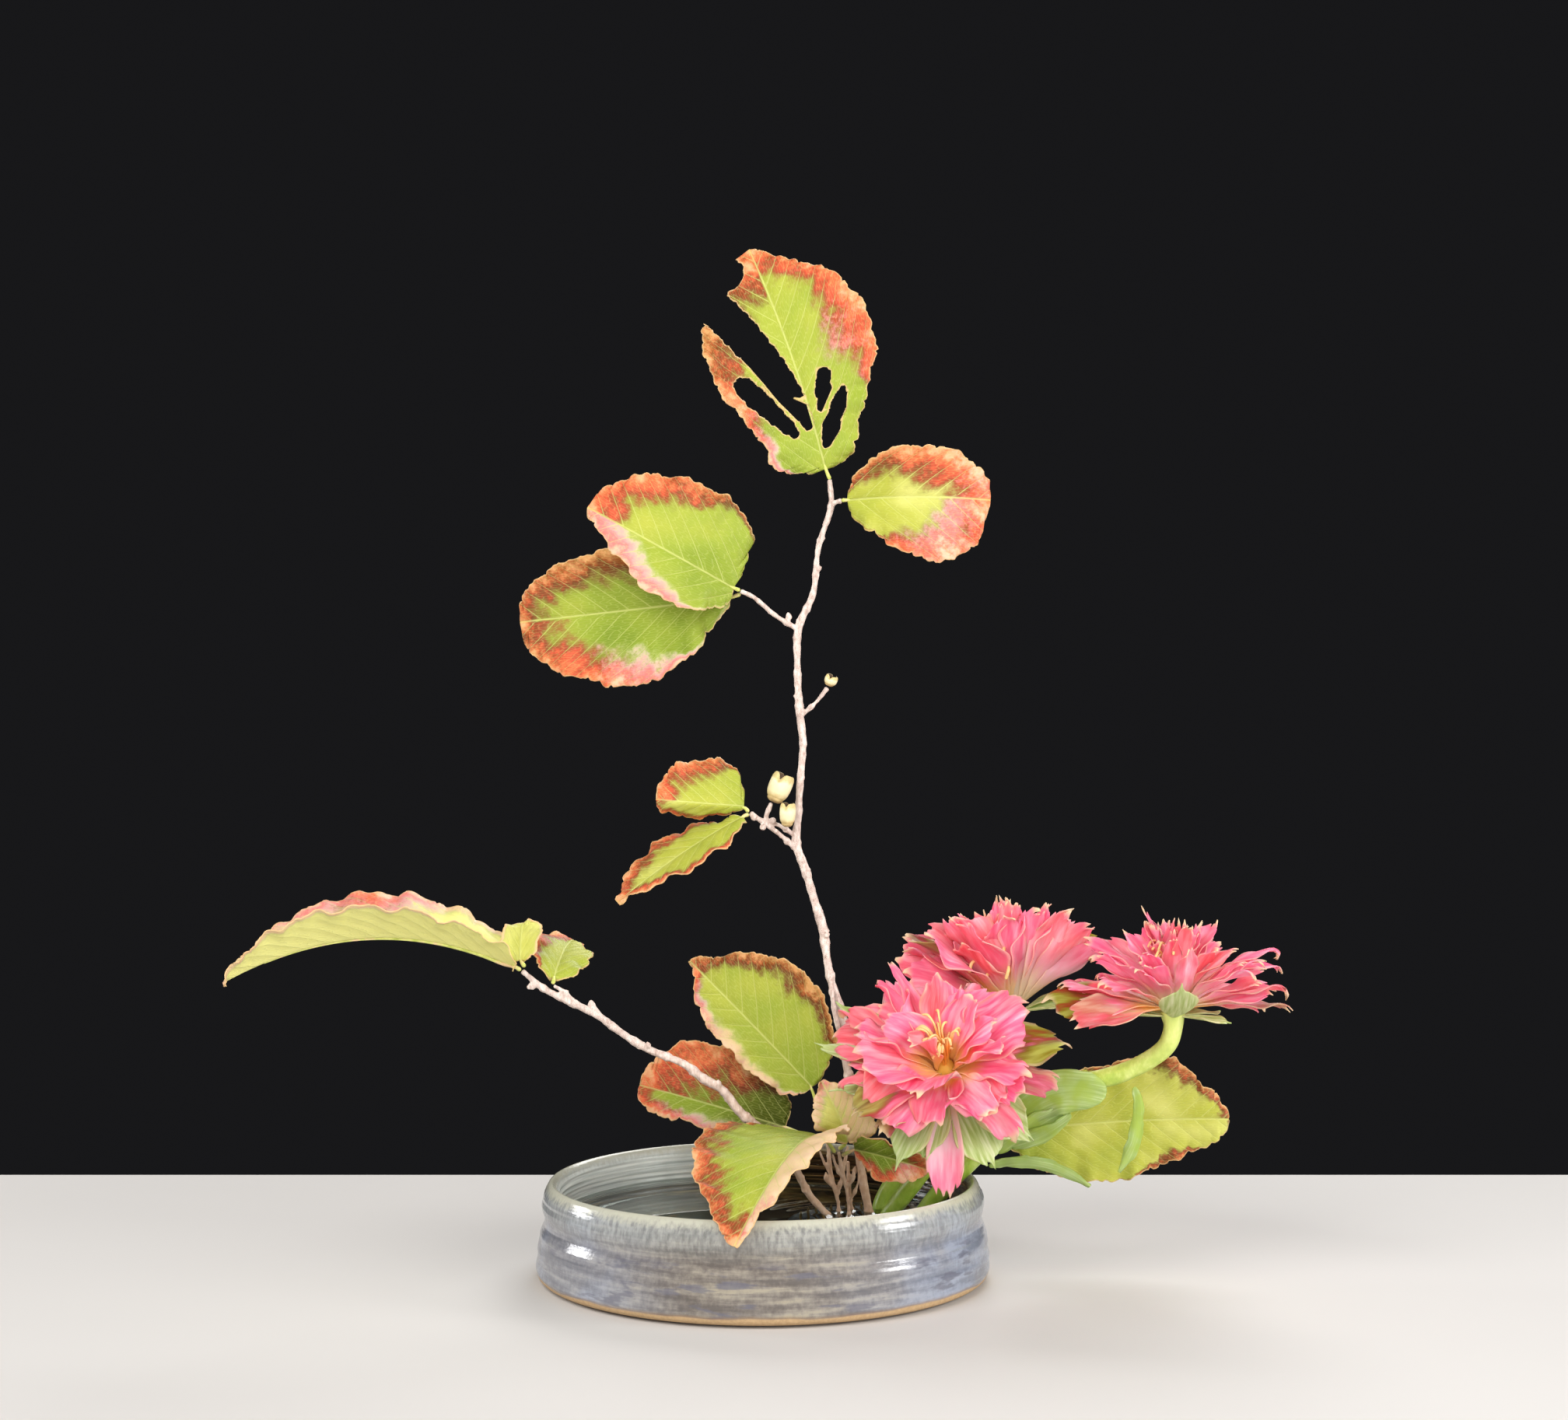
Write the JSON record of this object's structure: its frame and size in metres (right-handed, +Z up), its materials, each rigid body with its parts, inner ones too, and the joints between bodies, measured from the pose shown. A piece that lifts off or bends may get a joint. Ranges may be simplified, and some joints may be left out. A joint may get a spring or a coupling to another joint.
{
  "type": "ikebana arrangement",
  "caption": "Low round glazed bowl of water with leaning autumn branches and frilled pink double blooms on soft green stems.",
  "frame": {"origin": "centre of the bowl's flat foot, on the surface that it stands on", "axes": "+Z up, the arrangement's front faces -Y, +X to its right"},
  "size_m": [0.4081, 0.1851, 0.4088],
  "materials": {
    "glaze": "glossy grey ash glaze over stoneware, bare tan clay at the foot",
    "water": "clear still water",
    "pin_holder": "dull cast lead with brass pins",
    "bark": "smooth pale bark with small rough pores",
    "capsule": "dry woody seed husk",
    "autumn_leaf": "green to yellow leaf with red and orange margins",
    "pale_leaf": "pale yellow leaf, lit through",
    "dark_leaf": "dark green leaf turning maroon and rust",
    "soft_stem": "smooth juicy green stem and leaf",
    "calyx": "matt pale green sepal",
    "petal": "satin pink petal with green and cream tips",
    "stamen": "yellow filaments and anthers"
  },
  "bodies": {
    "root": {"back_calyx": "calyx", "back_flower_stem": "soft_stem", "back_inner_petals": "petal", "back_middle_petals": "petal", "back_outer_petals": "petal", "back_stamens": "stamen", "back_twig": "bark", "bowl": "glaze", "centre_leaf": "autumn_leaf", "dark_leaf": "dark_leaf", "end_capsule": "capsule", "folded_leaf": "autumn_leaf", "front_calyx": "calyx", "front_flower_stem": "soft_stem", "front_inner_petals": "petal", "front_middle_petals": "petal", "front_outer_petals": "petal", "front_stamens": "stamen", "front_twig": "bark", "hanging_leaf": "autumn_leaf", "large_capsule": "capsule", "left_branch": "bark", "left_end_leaf": "pale_leaf", "left_side_leaf": "autumn_leaf", "left_small_leaf": "autumn_leaf", "low_right_leaf": "autumn_leaf", "low_right_twig": "bark", "middle_lower_leaf": "autumn_leaf", "middle_upper_leaf": "autumn_leaf", "pin_holder": "pin_holder", "right_calyx": "calyx", "right_flower_stem": "soft_stem", "right_inner_petals": "petal", "right_leaf": "autumn_leaf", "right_middle_petals": "petal", "right_outer_petals": "petal", "right_stamens": "stamen", "small_capsule": "capsule", "stem_leaf_broad": "soft_stem", "stem_leaf_low": "soft_stem", "stem_leaf_narrow": "soft_stem", "stem_leaf_pendant": "soft_stem", "stub_twig": "bark", "tall_branch": "bark", "top_leaf": "autumn_leaf", "upper_left_back_leaf": "autumn_leaf", "upper_left_front_leaf": "autumn_leaf", "upright_leaf": "autumn_leaf", "water": "water"}
  },
  "joints": []
}
